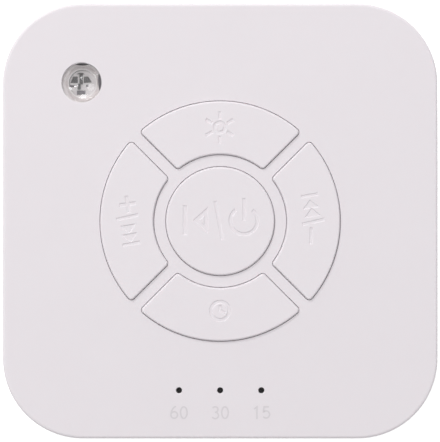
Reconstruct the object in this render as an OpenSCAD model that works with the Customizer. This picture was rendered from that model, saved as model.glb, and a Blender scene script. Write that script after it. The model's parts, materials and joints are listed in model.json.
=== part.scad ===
// White noise sound machine: a square table-top housing with five push buttons,
// a night light, three timer lights, a battery and a speaker that plays downwards.
// Millimetres. +Z is up, +X is the user's right and +Y points away from the user.
// The origin is in the middle of the surface that the feet stand on.

/* [Housing] */
// Width and depth of the housing
body_w = 100; // [98:1:120]
// Radius of the four upright corners
corner_r = 18.4; // [16:0.2:22]
// Height of both shells together, without feet and buttons
shell_h = 47.4; // [46:0.2:60]
// Height of the base shell, up to the seam
base_h = 20; // [18:0.5:24]
// Wall thickness of both shells
wall = 2; // [1.6:0.1:2.4]
// Rounding of the outer top and bottom edges
edge_r = 0.7; // [0.4:0.1:1.5]
// Height of the locating lip on the base shell
lip_h = 1.5; // [1:0.1:2.5]
// Width of the shadow line at the seam
seam_w = 0.4; // [0.2:0.1:0.8]

/* [Buttons] */
// Radius of the round middle button
power_r = 12.35; // [11:0.05:13.5]
// Outer radius of the four ring buttons
ring_r = 27.45; // [25:0.05:28.5]
// Width of the web between neighbouring buttons
web_w = 2.6; // [2.4:0.1:3.4]
// Gap round each button
button_gap = 0.25; // [0.15:0.05:0.35]
// Height that the buttons stand above the face
button_proud = 0.6; // [0.3:0.1:1.2]
// Bevel of a button's top edge
button_bevel = 0.3; // [0.1:0.05:0.5]
// How far the tips of a ring button's upright corners are cut back
corner_cut = 0.35; // [0.2:0.05:0.6]
// Thickness of a button's top
cap_t = 1.6; // [1.2:0.1:2]
// Travel of a button
button_travel = 0.5; // [0.3:0.05:0.8]
// Width that a button's flange reaches under the face
flange_w = 0.8; // [0.5:0.05:0.85]
// Thickness of a button's flange
flange_t = 1; // [0.8:0.1:1.4]

/* [Lights] */
// Distance of the night light from the two nearest sides
night_inset = 18.15; // [17:0.05:19]
// Radius of the night light's hole in the face
night_r = 4.6; // [4:0.1:5]
// Radius of the curve on top of the night light's lens
lens_dome_r = 6.5; // [5.5:0.1:12]
// Spacing of the timer holes
timer_pitch = 9.46; // [8:0.02:12]
// Distance of the timer holes from the front side
timer_inset = 11.1; // [9:0.1:12]
// Radius of a timer hole
timer_hole_r = 0.7; // [0.5:0.05:1]

/* [Speaker] */
// Radius of the speaker's frame
speaker_r = 25; // [23:0.5:25.5]
// Radius of one grille hole
grille_hole_r = 0.95; // [0.6:0.05:1.1]
// Spacing of the rings of grille holes
grille_pitch = 3.3; // [2.8:0.1:4]

/* [Battery] */
// Radius of the cell
cell_r = 9.2; // [8:0.1:9.6]
// Clearance between the cell's ends and the corner posts
cell_end_gap = 1.1; // [1:0.1:4]

/* [Feet] */
// Radius of a rubber foot
foot_r = 5.4; // [4.5:0.1:5.8]
// Height that the feet lift the base
foot_h = 2; // [1:0.1:3]
// Distance of feet and corner posts from the sides
post_inset = 12; // [11.6:0.1:12.6]

/* [Hidden] */
$fn = 96;
fit = 0.1;          // clearance between pieces that fit together
bite = 0.03;        // clearance of a screw in its pilot hole
joint = 0.2;        // overlap that fuses the stretches of a swept edge

// Heights
z_base = foot_h;
z_floor = z_base + wall;
z_seam = z_base + base_h;
z_face = z_base + shell_h;
z_under = z_face - wall;
z_top = z_face + button_proud;
half = body_w / 2;
inner = half - wall;

// Lip and rebate at the seam
lip_t = wall / 2 - fit;

// Button openings, measured on the face
power_hole_r = power_r + button_gap;
ring_hole_in = power_hole_r + web_w;
ring_in = ring_hole_in + button_gap;
ring_hole_out = ring_r + button_gap;
spoke = web_w / 2;
key_t = 0.6;        // rib under each spoke
key_h = 2;
key_gap = 0.2;
skirt_t = 1.2;
shoulder = button_gap - fit;    // how far a button's guiding shoulder stands out
shoulder_drop = 0.6;            // height of the face above that shoulder
ring_mid = (ring_in + ring_r) / 2;
side_rib = ring_mid * 0.55;
stiffener_gap = 0.9;
stiffener_r = ring_hole_out + flange_w + stiffener_gap;
stiffener_t = 1.2;
stiffener_h = 3;

// Night light, stacked from the lens down to the board
night_xy = half - night_inset;
lens_gap = 0.1;
lens_r = night_r - lens_gap;
lens_below_top = 0.1;
lens_flange_w = 0.8;
lens_flange_t = 0.4;
barrel_gap = 0.9;
barrel_r = night_r + barrel_gap;
barrel_t = 1.3;
barrel_h = 4.4;
led_r = 2.5;
led_flange_r = 2.9;
led_flange_t = 1;
led_h = 8.6;
led_gap = 0.2;
led_standoff = 0.2;
lead_t = 0.5;
lead_pitch = 2.54;
lead_below = 2;
solder_r = 0.9;
solder_h = 0.8;
cone_foot = [0.2, 0.1, 0.8];    // reflector: play, taper and height at the LED
cone_rim = 0.4;                 // width of the reflector's top edge in the hole

// Main board
board_t = 1.6;
board_gap = 1;
board_top = z_under - lens_flange_t - led_gap - led_h - led_standoff;
board_under = board_top - board_t;
board_boss = [33, 14];
board_boss_r = 3;
post_play = 0.6;    // clearance of the board round a corner post
hole_play = 0.15;   // clearance of a screw in the board
sound_chip = [10, 7.5, 1.6];
sound_chip_y = 2;
amplifier_chip = [5, 4, 1.5];
amplifier_chip_y = -16;
leg = [0.4, 1.1, 0.25];
leg_pitch = 1.27;
can_r = 3.15;
can_h = 7;
can_xy = 24;

// Push switches
switch_w = 6;
switch_h = 3.5;
plunger_r = 1.75;
plunger_h = 1.5;
plunger_in = 1.2;
plunger_gap = 0.08;
plunger_room = 0.4; // room under a pressed plunger
switch_foot = [1.2, 0.7, 0.2];
switch_foot_out = 0.5;
stem_r = 2.2;
rib_t = 1;
rib_h = 1.4;

// Timer lights
timer_y = -(half - timer_inset);
timer_led = [2, 1.25, 0.8];
well_r = 2;
well_gap = 0.3;

// Corner posts, feet and screws
post_xy = half - post_inset;
cover_post_r = 3.5;
base_post_r = 4.4;
foot_seat = 1;
foot_edge = 0.5;
case_screw = [1.3, 16];      // shank radius and length
case_head = [2.5, 1.8];      // head radius and height
case_bore_h = 11;
head_play = 0.3;
shank_play = 0.2;
small_screw = [1, 6];
board_head = [1.9, 1.2];
speaker_head = [3.4, 1.4];

// Speaker, measured up from the face of its frame
gasket_t = 1;
gasket_w = 2.5;
cloth_t = 0.3;
z_speaker = z_floor + gasket_t;
frame_t = 1;
basket_h = 10;
basket_r = 16;
basket_t = 0.8;
coil_r = 7.6;
cone_t = 0.5;
cone_neck = 2.4;    // height of the cone's neck below the basket's top
coil_t = 0.3;
glue = 0.02;
spider_drop = 0.8;
spider_t = 0.3;
spider_waves = 4;
spider_rim = 2.5;
ledge_w = 4.2;      // width of the frame's front ring
roll_r = 1.1;
roll_t = 0.4;
washer_h = 2;
magnet_r = 15.5;
magnet_h = 5;
yoke_h = 2;
grille_ledge = 1.6;
fence_t = 1.5;
fence_gap = 0.3;
fence_low = 0.4;    // how far the fence stays below the frame's rim
speaker_screw_r = speaker_r + 3;
speaker_boss_r = 2.4;
coil_play = 0.2;        // clearance round and inside the coil
magnet_bore = 1.2;      // how much wider the magnet's bore is than the washer's
magnet_lip = 1.5;       // how far the magnet stands out past washer and yoke
dome_r = 14;            // curve of the dust cap
dome_t = 0.4;
spider_wave_h = 0.35;
window_w = 15;
window_rim = 1.2;       // what the windows leave at the basket's foot and top
terminal = [8, 4, 0.8];
terminal_y = -(speaker_r - 4);
terminal_z = 6;         // height above the face of the speaker's frame

// Battery
cell_wall_gap = 1.8;
cell_floor_gap = 0.8;
cell_len = 2 * (post_xy - base_post_r - cell_end_gap);
cell_y = inner - cell_wall_gap - cell_r;
cell_z = z_floor + cell_floor_gap + cell_r;
cell_groove = [0.3, 0.5];   // depth, and height of its slopes
nub = [2.8, 0.5];           // radius and height of the cell's plus end
saddle_x = cell_len / 2 - 12.5;
saddle_t = 1.6;
tab_t = 0.2;
tab_w = 4;
tab_drop = 6;       // distance of a wire from the cell's axis
pad_w = 8;

// Sockets on the rear wall, below the board
port_x = 9;
usb = [7.5, 5.6, 2.6];
usb_wall = 0.3;
usb_set = 1;        // depth of the shell's mouth below the wall's outside
usb_play = 0.4;
usb_tongue = [3.9, 3.6, 0.7];
jack = [6.5, 12, 6];
jack_nose_r = 3;
jack_bore_r = 1.8;
jack_depth = 12.5;
port_set = 0.2;     // depth of the jack's nose below the wall's outside

// Wires and plugs
wire_r = 0.55;
wire_sides = 8;
wire_rings = 22;
plug = [7, 5, 5];
battery_plug_y = inner - 24;
speaker_plug_y = 17 - inner;
wire_pitch = 2.5;
battery_bend = [8, 24, 12];     // how far its ends lead a battery wire
speaker_bend = 9;

WHITE = [0.90, 0.88, 0.90];
BOARD_GREEN = [0.10, 0.38, 0.22];
STEEL = [0.72, 0.73, 0.75];
DARK = [0.10, 0.10, 0.11];
AROUND = [0 : 90 : 270];

// ---- Shared shapes ----

// Copies its children to the four corners
module at_corners(xy) {
    for (a = AROUND) rotate(a) translate([xy, xy, 0]) children();
}

module tube(r_out, r_in, h) {
    difference() {
        cylinder(r = r_out, h = h);
        translate([0, 0, -1]) cylinder(r = r_in, h = h + 2);
    }
}

// Box with its middle at x = y = 0
module block(size) {
    translate([-size[0] / 2, -size[1] / 2, 0]) cube(size);
}

// Section w wide and h high with its top outer edge rounded
module rounded_section(w, h, r) {
    square([w, h - r]);
    square([w - r, h]);
    translate([w - r, h - r]) intersection() {
        circle(r);
        square(r);
    }
}

// Sweeps a section round a square with round corners. Its x = 0 passes through
// the corner centres, and x points outwards.
module square_sweep(half_w, r) {
    straight = 2 * (half_w - r);
    for (a = AROUND) rotate(a) translate([half_w - r, 0, 0]) {
        rotate([90, 0, 0]) linear_extrude(straight, center = true) children();
        translate([0, straight / 2, 0]) rotate_extrude(angle = 90) children();
    }
}

// Flat plate with round corners
module square_plate(half_w, r, h) {
    block([2 * half_w, 2 * (half_w - r), h]);
    block([2 * (half_w - r), 2 * half_w, h]);
    at_corners(half_w - r) cylinder(r = r, h = h);
}

// Screw with its head's underside at z = 0 and its shank pointing up
module screw(shank, head) {
    cylinder(r = shank[0], h = shank[1]);
    difference() {
        translate([0, 0, -head[1]]) cylinder(r = head[0], h = head[1]);
        for (a = [0, 90]) rotate(a) translate([0, 0, -head[1] - 1])
            block([head[0] * 1.2, head[0] * 0.3, 1 + head[1] / 2]);
    }
}

// ---- Buttons ----

// Section of a plate from x0 to x1 and z0 to z1, with both top edges bevelled
module bevelled_section(x0, x1, z0, z1, bevel) {
    polygon([[x0, z0], [x1, z0], [x1, z1 - bevel], [x1 - bevel, z1],
             [x0 + bevel, z1], [x0, z1 - bevel]]);
}

// Where a circle about the middle meets a line that runs beside the spoke at
// 45 degrees, at a distance from the spoke
function tip(r, side) = let (along = sqrt(r * r - side * side))
    [along + side, along - side] / sqrt(2);

// A quarter of a ring, pointing along +X, with the spokes taken off and the tips
// of its four corners cut back. grow moves its outline outwards, and inner_grow
// its inner arc.
module ring_sector(grow, inner_grow, z0, z1, bevel = 0) {
    side = spoke + button_gap - grow;
    inside = ring_in - inner_grow;
    outside = ring_r + grow;
    low = tip(inside, side)[0] + corner_cut;
    wide = tip(outside, side)[1] - corner_cut;
    intersection() {
        rotate_extrude() bevelled_section(inside, outside, z0, z1, bevel);
        rotate([90, 0, 45]) linear_extrude(body_w)
            bevelled_section(side, body_w, z0, z1, bevel);
        rotate([90, 0, -45]) translate([0, 0, -body_w]) linear_extrude(body_w)
            bevelled_section(side, body_w, z0, z1, bevel);
        translate([low, -wide, z0 - 1]) cube([body_w, 2 * wide, z1 - z0 + 2]);
    }
}

module button_stem() {
    tip_z = board_top + switch_h + plunger_h;
    translate([0, 0, tip_z]) cylinder(r = stem_r, h = z_top - cap_t - tip_z + joint);
}

// Rib under a button's top, from the stem along +X
module button_rib(length) {
    translate([0, -rib_t / 2, z_top - cap_t - rib_h])
        cube([length, rib_t, rib_h + joint]);
}

module ring_button() {
    low = z_under - flange_t;
    color(WHITE) {
        difference() {
            union() {
                ring_sector(0, 0, low, z_top, button_bevel);
                ring_sector(shoulder, shoulder, low, z_face - shoulder_drop);
                ring_sector(button_gap + flange_w, -skirt_t / 2, low, z_under);
            }
            ring_sector(-skirt_t, -skirt_t, low - 1, z_top - cap_t);
        }
        translate([ring_mid, 0, 0]) {
            button_stem();
            button_rib(ring_r - skirt_t / 2 - ring_mid);
            rotate(180) button_rib(ring_mid - ring_in - skirt_t / 2);
            for (a = [90, -90]) rotate(a) button_rib(side_rib);
        }
    }
}

module power_button() {
    low = z_under - flange_t;
    color(WHITE) difference() {
        union() {
            rotate_extrude() polygon([
                [power_r - skirt_t, low], [power_r + button_gap + flange_w, low],
                [power_r + button_gap + flange_w, z_under], [power_r + shoulder, z_under],
                [power_r + shoulder, z_face - shoulder_drop], [power_r, z_face - shoulder_drop],
                [power_r, z_top - button_bevel], [power_r - button_bevel, z_top],
                [0, z_top], [0, z_top - cap_t], [power_r - skirt_t, z_top - cap_t]]);
            button_stem();
            for (a = [45 : 90 : 315]) rotate(a) button_rib(power_r - skirt_t / 2);
        }
        // Notches in the flange, which the ribs under the web key into
        for (a = AROUND) rotate(a + 45)
            translate([power_hole_r, -key_t / 2 - key_gap, low - 1])
                cube([flange_w * 2, key_t + 2 * key_gap, flange_t + 1]);
    }
}

// ---- Shells ----

module wall_section(h) {
    difference() {
        rounded_section(corner_r, h, edge_r);
        square([corner_r - wall, h - wall]);
    }
}

module cover_section() {
    difference() {
        translate([0, z_seam]) wall_section(z_face - z_seam);
        translate([0, z_seam - 1])
            square([corner_r - wall + lip_t + fit, lip_h + fit + 1]);
    }
}

module base_section() {
    translate([0, z_seam]) mirror([0, 1]) difference() {
        wall_section(base_h);
        translate([corner_r - seam_w, -1]) square([seam_w + 1, seam_w + 1]);
    }
    translate([corner_r - wall, z_seam - joint]) square([lip_t, lip_h + joint]);
}

module top_cover() {
    gusset_h = 6;
    color(WHITE) difference() {
        union() {
            square_sweep(half, corner_r) cover_section();
            translate([0, 0, z_under])
                block([2 * (half - corner_r), 2 * (half - corner_r), wall]);
            // Corner posts, tied to the walls
            at_corners(post_xy) {
                translate([0, 0, z_seam])
                    cylinder(r = cover_post_r, h = z_under - z_seam + joint);
                for (a = [0, 90]) rotate(a)
                    translate([0, -rib_t / 2, z_under - gusset_h])
                        cube([post_inset - wall + joint, rib_t, gusset_h + joint]);
            }
            // Bosses that carry the board
            for (x = [-1, 1], y = [-1, 1])
                translate([x * board_boss[0], y * board_boss[1], board_top])
                    cylinder(r = board_boss_r, h = z_under - board_top + joint);
            // Stiffening ring round the buttons, and ribs under the spokes
            translate([0, 0, z_under - stiffener_h])
                tube(stiffener_r + stiffener_t, stiffener_r, stiffener_h + joint);
            for (a = AROUND) rotate(a + 45)
                translate([power_hole_r + key_gap * 2, -key_t / 2, z_under - key_h])
                    cube([stiffener_r + joint - power_hole_r - key_gap * 2, key_t, key_h + joint]);
            // Barrel of the night light
            translate([-night_xy, night_xy, z_under - barrel_h])
                cylinder(r = barrel_r + barrel_t, h = barrel_h + joint);
            // Light wells of the timer lights
            for (i = [-1, 0, 1]) translate([i * timer_pitch, timer_y, well_bottom()])
                cylinder(r = well_r, h = z_under - well_bottom() + joint);
        }
        translate([0, 0, z_under - 1]) cylinder(r = power_hole_r, h = wall + 2);
        for (a = AROUND) rotate(a) ring_sector(button_gap, button_gap, z_under - 1, z_face + 1);
        translate([-night_xy, night_xy, 0]) {
            translate([0, 0, z_under - 1]) cylinder(r = night_r, h = wall + 2);
            translate([0, 0, z_under - barrel_h - 1]) cylinder(r = barrel_r, h = barrel_h + 1);
        }
        for (i = [-1, 0, 1]) translate([i * timer_pitch, timer_y, well_bottom() - 1])
            cylinder(r = timer_hole_r, h = z_face - well_bottom() + 2);
        at_corners(post_xy) translate([0, 0, z_seam - 1])
            cylinder(r = case_screw[0] + bite, h = case_screw[1]);
        for (x = [-1, 1], y = [-1, 1])
            translate([x * board_boss[0], y * board_boss[1], board_top - 1])
                cylinder(r = small_screw[0] + bite, h = small_screw[1]);
        rear_cut_outs();
    }
}

function well_bottom() = board_top + timer_led[2] + well_gap;

// Cut-outs of the two sockets in the rear wall
module rear_cut_outs() {
    translate([-port_x - usb[0] / 2 - usb_play, inner - 1, board_under - usb[2] - usb_play])
        cube([usb[0] + 2 * usb_play, wall + 2, usb[2] + 2 * usb_play]);
    translate([port_x, inner - 1, board_under - jack[2] / 2])
        rotate([-90, 0, 0]) cylinder(r = jack_nose_r + fit, h = wall + 2);
}

module base_cover() {
    post_h = z_seam - z_floor;
    color(WHITE) difference() {
        union() {
            square_sweep(half, corner_r) base_section();
            translate([0, 0, z_base])
                block([2 * (half - corner_r), 2 * (half - corner_r), wall]);
            at_corners(post_xy) translate([0, 0, z_floor - joint])
                cylinder(r = base_post_r, h = post_h + joint);
            // Fence and screw bosses round the speaker
            translate([0, 0, z_floor - joint])
                tube(speaker_r + fence_gap + fence_t, speaker_r + fence_gap,
                     gasket_t + frame_t - fence_low + joint);
            speaker_screw_places() translate([0, 0, z_floor - joint])
                cylinder(r = speaker_boss_r, h = gasket_t + frame_t + joint);
            // Saddles of the battery
            for (x = [-1, 1])
                translate([x * saddle_x, cell_y, z_floor - joint])
                    translate([-saddle_t / 2, -cell_r, 0])
                        cube([saddle_t, inner - cell_y + cell_r + joint, cell_z - z_floor]);
        }
        translate([0, cell_y, cell_z]) rotate([0, 90, 0])
            cylinder(r = cell_r + fit, h = cell_len, center = true);
        // Opening of the grille, with a ledge for its flange
        translate([0, 0, z_base - 1])
            cylinder(r = speaker_r - grille_ledge, h = wall + 2);
        translate([0, 0, z_base + wall / 2]) cylinder(r = speaker_r, h = wall);
        speaker_screw_places() translate([0, 0, z_base + wall / 2])
            cylinder(r = small_screw[0] + bite, h = 2 * wall + frame_t + gasket_t);
        at_corners(post_xy) {
            translate([0, 0, z_base - 1]) cylinder(r = foot_r + fit, h = foot_seat + 1);
            translate([0, 0, z_base]) cylinder(r = case_head[0] + head_play, h = case_bore_h);
            translate([0, 0, z_base]) cylinder(r = case_screw[0] + shank_play, h = base_h + 1);
        }
    }
}

module speaker_screw_places() {
    for (a = AROUND) rotate(a + 45) translate([speaker_screw_r, 0, 0]) children();
}

// ---- Underside ----

module speaker_grille() {
    outer = speaker_r - grille_ledge - fit;
    rings = floor((outer - 2) / grille_pitch);
    color(WHITE) translate([0, 0, z_base]) difference() {
        union() {
            cylinder(r = outer, h = wall);
            translate([0, 0, wall / 2]) cylinder(r = speaker_r - fit, h = wall / 2);
        }
        translate([0, 0, -1]) linear_extrude(wall + 2) {
            circle(grille_hole_r);
            for (k = [1 : rings], j = [0 : 6 * k - 1])
                rotate(60 * j / k) translate([k * grille_pitch, 0]) circle(grille_hole_r);
        }
    }
}

module grille_cloth() {
    color(DARK) translate([0, 0, z_floor])
        cylinder(r = speaker_r - gasket_w - fit, h = cloth_t);
}

// Rubber foot, with its seat's top at the bottom of the recess
module foot(quarter_turns) {
    color(DARK) rotate(90 * quarter_turns) translate([post_xy, post_xy, 0]) {
        cylinder(r1 = foot_r - foot_edge, r2 = foot_r, h = foot_edge);
        translate([0, 0, foot_edge])
            cylinder(r = foot_r, h = foot_h + foot_seat - foot_edge);
    }
}

module case_screws() {
    color(STEEL) at_corners(post_xy)
        translate([0, 0, z_base + case_bore_h]) screw(case_screw, case_head);
}

// ---- Switches ----

// Angle of each button on the ring, and its distance from the middle
PLACES = [["power", 0, 0], ["light", 90, ring_mid], ["timer", 270, ring_mid],
          ["next", 180, ring_mid], ["previous", 0, ring_mid]];

module at_place(i) {
    rotate(PLACES[i][1]) translate([PLACES[i][2], 0, 0]) children();
}

module plunger() {
    color(DARK) translate([0, 0, board_top + switch_h - plunger_in])
        cylinder(r = plunger_r, h = plunger_in + plunger_h);
}

module switch_body() {
    color(STEEL) translate([0, 0, board_top]) {
        difference() {
            block([switch_w, switch_w, switch_h]);
            translate([0, 0, switch_h - plunger_in - button_travel - plunger_room])
                cylinder(r = plunger_r + plunger_gap, h = switch_h);
        }
        // Soldered feet
        for (x = [-1, 1], y = [-1, 1])
            translate([x * (switch_w / 2 + switch_foot_out), y * switch_w / 3, 0])
                block(switch_foot);
    }
}

// ---- Lights ----

module at_night_light() {
    translate([-night_xy, night_xy, 0]) children();
}

module night_light_lens() {
    bottom = z_under - lens_flange_t;
    rise = lens_dome_r - sqrt(pow(lens_dome_r, 2) - pow(lens_r, 2));
    apex = z_top - lens_below_top;
    color([0.9, 0.92, 0.95, 0.5]) at_night_light() {
        rotate_extrude() intersection() {
            translate([0, apex - lens_dome_r]) circle(lens_dome_r);
            translate([0, z_under - joint]) square([lens_r, 2 * rise + wall + 1]);
        }
        translate([0, 0, bottom]) cylinder(r = lens_r + lens_flange_w, h = lens_flange_t);
    }
}

module night_light_reflector() {
    h = barrel_h - lens_flange_t;
    color("white") at_night_light() translate([0, 0, z_under - barrel_h])
        rotate_extrude() polygon([
            [led_flange_r + cone_foot[0], 0], [barrel_r - fit, 0], [barrel_r - fit, h],
            [night_r - cone_rim, h], [led_flange_r + cone_foot[1], cone_foot[2]]]);
}

module night_light_led() {
    foot = board_top + led_standoff;
    color([0.9, 0.92, 0.95, 0.5]) at_night_light() difference() {
        union() {
            translate([0, 0, foot]) cylinder(r = led_flange_r, h = led_flange_t);
            translate([0, 0, foot]) cylinder(r = led_r, h = led_h - led_r);
            translate([0, 0, foot + led_h - led_r]) sphere(r = led_r);
        }
        // Slots that the leads are moulded into
        lead_places() translate([0, 0, foot - 1])
            block([lead_t, lead_t, 1 + lead_in()]);
    }
}

function lead_in() = led_h - led_r - 1;

module lead_places() {
    for (x = [-1, 1]) translate([x * lead_pitch / 2, 0, 0]) children();
}

module night_light_leads() {
    low = board_under - lead_below;
    color(STEEL) at_night_light() lead_places() {
        translate([0, 0, low])
            block([lead_t, lead_t, board_top + led_standoff + lead_in() - low]);
        translate([0, 0, board_under - solder_h])
            cylinder(r1 = lead_t, r2 = solder_r, h = solder_h);
    }
}

module timer_led_at(i) {
    color([0.95, 0.93, 0.8]) translate([i * timer_pitch, timer_y, board_top])
        block(timer_led);
}

// ---- Board ----

module main_board() {
    board_half = inner - board_gap;
    color(BOARD_GREEN) translate([0, 0, board_under]) difference() {
        square_plate(board_half, corner_r - wall - board_gap, board_t);
        translate([0, 0, -1]) {
            at_corners(post_xy) cylinder(r = cover_post_r + post_play, h = board_t + 2);
            for (x = [-1, 1], y = [-1, 1])
                translate([x * board_boss[0], y * board_boss[1], 0])
                    cylinder(r = small_screw[0] + hole_play, h = board_t + 2);
            at_night_light() lead_places() cylinder(r = lead_t, h = board_t + 2);
        }
    }
}

module board_screws() {
    color(STEEL) for (x = [-1, 1], y = [-1, 1])
        translate([x * board_boss[0], y * board_boss[1], board_under])
            screw(small_screw, board_head);
}

// A chip under the board, with a row of legs on both long sides
module chip(y, size, legs) {
    color(DARK) translate([0, y, board_under - size[2]]) {
        block(size);
        for (side = [-1, 1], i = [0 : legs - 1])
            translate([(i - (legs - 1) / 2) * leg_pitch,
                       side * (size[1] / 2 + leg[1] / 2 - joint), size[2] - leg[2]])
                block(leg);
    }
}

module capacitors() {
    color(STEEL) for (x = [-1, 1]) translate([x * can_xy, -can_xy, board_under - can_h])
        cylinder(r = can_r, h = can_h);
}

// ---- Sockets ----

module usb_socket() {
    hollow = [usb[0] - 2 * usb_wall, usb[1], usb[2] - 2 * usb_wall];
    color(STEEL) translate([-port_x, half - usb_set - usb[1], board_under - usb[2]])
        difference() {
            translate([-usb[0] / 2, 0, 0]) cube(usb);
            translate([-hollow[0] / 2, usb_wall, usb_wall]) cube(hollow);
        }
}

module usb_tongue() {
    color(DARK) translate([-port_x, half - usb_set - usb[1] + usb_wall, board_under - usb[2] / 2])
        translate([-usb_tongue[0] / 2, 0, -usb_tongue[2] / 2])
            cube(usb_tongue);
}

module headphone_socket() {
    nose = wall + fit - port_set;
    color(DARK) translate([port_x, inner - fit, board_under - jack[2] / 2])
        difference() {
            union() {
                translate([-jack[0] / 2, -jack[1], -jack[2] / 2])
                    cube(jack);
                rotate([-90, 0, 0]) translate([0, 0, -joint])
                    cylinder(r = jack_nose_r, h = nose + joint);
            }
            translate([0, nose - jack_depth, 0]) rotate([-90, 0, 0])
                cylinder(r = jack_bore_r, h = jack_depth + 1);
        }
}

// ---- Battery ----

module battery_cell() {
    in_r = cell_r - cell_groove[0];
    step = cell_groove[1];
    top = cell_len - nub[1];
    low = top - 5 * step;
    color([0.25, 0.45, 0.75]) translate([-cell_len / 2, cell_y, cell_z])
        rotate([0, 90, 0]) rotate_extrude() polygon([
            [0, 0], [cell_r, 0], [cell_r, low], [in_r, low + step], [in_r, low + 2 * step],
            [cell_r, low + 3 * step], [cell_r, top], [nub[0], top], [nub[0], cell_len],
            [0, cell_len]]);
}

module battery_tabs() {
    color(STEEL) for (x = [-1, 1])
        translate([x * (cell_len / 2 + tab_t / 2), cell_y, cell_z - tab_w / 2])
            translate([-tab_t / 2, -tab_drop - tab_w / 2, 0])
                cube([tab_t, tab_drop + tab_w, tab_w]);
}

// Foam strip between the cell and the floor
module battery_pad() {
    color([0.3, 0.3, 0.3]) difference() {
        translate([0, cell_y, z_floor]) block([2 * saddle_x - saddle_t - 2, pad_w, 2]);
        translate([0, cell_y, cell_z]) rotate([0, 90, 0])
            cylinder(r = cell_r + bite, h = cell_len, center = true);
    }
}

// ---- Wires ----

function bezier(p, t) = pow(1 - t, 3) * p[0] + 3 * t * pow(1 - t, 2) * p[1]
    + 3 * t * t * (1 - t) * p[2] + pow(t, 3) * p[3];
function heading(p, t) = let (d = pow(1 - t, 2) * (p[1] - p[0])
    + 2 * t * (1 - t) * (p[2] - p[1]) + t * t * (p[3] - p[2])) d / norm(d);

// Round wire along one Bezier curve
module wire(p) {
    aside = [0.05, 1, 0.1];
    points = [for (k = [0 : wire_rings - 1])
        let (t = k / (wire_rings - 1), d = heading(p, t),
             u = cross(d, aside) / norm(cross(d, aside)), v = cross(d, u))
        for (s = [0 : wire_sides - 1])
            bezier(p, t) + wire_r * (cos(360 * s / wire_sides) * u
                                     + sin(360 * s / wire_sides) * v)];
    last = wire_sides * (wire_rings - 1);
    faces = concat(
        [[for (s = [0 : wire_sides - 1]) s]],
        [[for (s = [wire_sides - 1 : -1 : 0]) last + s]],
        [for (k = [0 : wire_rings - 2], s = [0 : wire_sides - 1])
            let (a = k * wire_sides + s, b = k * wire_sides + (s + 1) % wire_sides)
            [b, a, a + wire_sides, b + wire_sides]]);
    polyhedron(points, faces);
}

// Plug and header under the board
module plug_block(y) {
    color([0.93, 0.92, 0.88]) translate([0, y, board_under - plug[2]]) block(plug);
}

module battery_wires() {
    color([0.7, 0.1, 0.1]) for (x = [-1, 1]) {
        start = [x * (cell_len / 2 + tab_t + wire_r), cell_y - tab_drop, cell_z];
        end = [x * wire_pitch / 2, battery_plug_y, board_under - plug[2]];
        wire([start, start + [x * battery_bend[0], 0, battery_bend[1]],
              end - [0, 0, battery_bend[2]], end]);
    }
}

module speaker_wires() {
    color([0.7, 0.1, 0.1]) for (x = [-1, 1]) {
        start = [x * wire_pitch / 2, terminal_y - terminal[1] / 6,
                 z_speaker + terminal_z + terminal[2]];
        end = [x * wire_pitch / 2, speaker_plug_y, board_under - plug[2]];
        wire([start, start + [0, 0, speaker_bend], end - [0, 0, speaker_bend], end]);
    }
}

// ---- Speaker ----

module at_speaker() {
    translate([0, 0, z_speaker]) children();
}

// Radius of the basket's inside at a height above the frame's face
function basket_in(z) = let (top = speaker_r - gasket_w - basket_t / 2)
    top - (top - basket_r) * (z - frame_t) / (basket_h - frame_t);

module speaker_frame() {
    color(DARK) at_speaker() difference() {
        rotate_extrude() polygon([
            [speaker_r - ledge_w, 0], [speaker_r, 0], [speaker_r, frame_t],
            [basket_in(frame_t) + basket_t, frame_t],
            [basket_r + basket_t, basket_h], [basket_r + basket_t, basket_h + frame_t],
            [coil_r + coil_play, basket_h + frame_t], [coil_r + coil_play, basket_h],
            [basket_r - spider_rim, basket_h], [basket_r - spider_rim, basket_h - spider_drop],
            [basket_in(basket_h - spider_drop), basket_h - spider_drop],
            [basket_in(frame_t), frame_t], [speaker_r - ledge_w, frame_t]]);
        for (a = AROUND) rotate(a + 45)
            translate([basket_r, -window_w / 2, frame_t + window_rim])
                cube([speaker_r, window_w, basket_h - frame_t - 2 * window_rim]);
    }
}

// Height of the roll's edge, above the frame's face
roll_z = frame_t + roll_t;
roll_mid = speaker_r - ledge_w - fit - roll_r;

module speaker_surround() {
    color([0.16, 0.16, 0.17]) at_speaker() rotate_extrude() {
        difference() {
            translate([roll_mid, roll_z]) circle(roll_r);
            translate([roll_mid, roll_z]) circle(roll_r - roll_t);
            translate([0, roll_z]) square([speaker_r, roll_r + 1]);
        }
        translate([roll_mid + roll_r - roll_t, roll_z - roll_t])
            square([basket_in(roll_z) - fit - roll_mid - roll_r + roll_t, roll_t]);
    }
}

cone_edge = roll_mid - roll_r;
cone_z = basket_h - cone_neck;
neck_r = coil_r - coil_t - glue;

// The cone has a flat lip that the roll is glued under, and a flat neck that
// carries the coil
module speaker_cone() {
    color([0.2, 0.2, 0.22]) at_speaker() rotate_extrude() polygon([
        [cone_edge + roll_t, roll_z], [cone_edge + roll_t, roll_z + cone_t],
        [cone_edge, roll_z + cone_t], [coil_r, cone_z + cone_t],
        [neck_r, cone_z + cone_t], [neck_r, cone_z], [coil_r, cone_z],
        [cone_edge, roll_z]]);
}

// Height of the cone's front at a radius
function cone_front(r) = roll_z + (cone_z - roll_z) * (cone_edge - r) / (cone_edge - coil_r);

module speaker_dust_cap() {
    cap_r = coil_r + dome_t;
    mid = cone_front(cap_r) + sqrt(pow(dome_r - dome_t, 2) - pow(cap_r, 2));
    color(DARK) at_speaker() rotate_extrude() intersection() {
        translate([0, mid]) difference() {
            circle(dome_r);
            circle(dome_r - dome_t);
        }
        square([cap_r, basket_h]);
    }
}

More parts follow.
